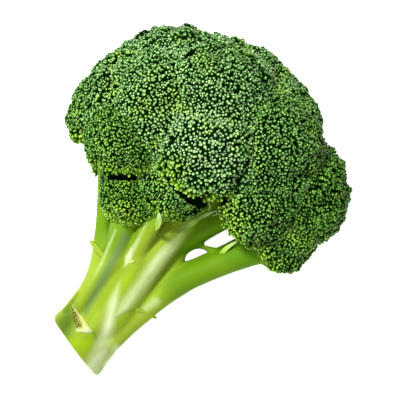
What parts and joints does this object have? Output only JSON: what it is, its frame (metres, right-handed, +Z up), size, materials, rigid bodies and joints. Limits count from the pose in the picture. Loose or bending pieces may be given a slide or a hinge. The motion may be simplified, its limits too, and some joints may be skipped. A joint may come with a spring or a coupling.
{
  "type": "broccoli head",
  "caption": "Cut broccoli head lying on its side, with a thick pale stalk that divides into stems, each carrying a domed head of green buds",
  "frame": {"origin": "under the middle of the head as it lies, on the plane it rests on", "axes": "+X runs along the stalk from the cut end towards the crown of buds, +Z up, +Y across; the stalk rises towards the crown because the head rests on two lower florets and the rim of the cut end"},
  "size_m": [0.1966, 0.1606, 0.1167],
  "materials": {
    "stalk": "pale yellow-green skin with a whitish bloom, satin",
    "stem": "smooth green skin, satin",
    "buds": "tight green flower buds, matte",
    "leaf": "thin pale green leaf, matte"
  },
  "bodies": {
    "root": {"main_stalk": "stalk", "stem_front": "stem", "stem_front_up": "stem", "stem_front_mid": "stem", "stem_front_right": "stem", "stem_top_left": "stem", "stem_top": "stem", "stem_top_right": "stem", "stem_right_up": "stem", "stem_right": "stem", "stem_left_top": "stem", "stem_far_left": "stem", "stem_front_left": "stem", "stem_low_left": "stem", "stem_low_mid": "stem", "stem_front_low": "stem", "stem_right_low": "stem", "stem_low_right": "stem", "stem_back_up": "stem", "stem_back_left": "stem", "stem_back_right": "stem", "stem_back_mid": "stem", "stem_back_low": "stem", "stem_back_low_left": "stem", "stem_back_low_right": "stem", "floret_front": "buds", "floret_front_up": "buds", "floret_front_mid": "buds", "floret_front_right": "buds", "floret_top_left": "buds", "floret_top": "buds", "floret_top_right": "buds", "floret_right_up": "buds", "floret_right": "buds", "floret_left_top": "buds", "floret_far_left": "buds", "floret_front_left": "buds", "floret_low_left": "buds", "floret_low_mid": "buds", "floret_front_low": "buds", "floret_right_low": "buds", "floret_low_right": "buds", "floret_back_up": "buds", "floret_back_left": "buds", "floret_back_right": "buds", "floret_back_mid": "buds", "floret_back_low": "buds", "floret_back_low_left": "buds", "floret_back_low_right": "buds", "bract_long": "leaf", "bract_low": "leaf", "bract_mid": "leaf", "bract_left": "leaf", "leaf_stub_left": "leaf", "leaf_stub_right": "leaf", "leaf_scar": "leaf"}
  },
  "joints": []
}
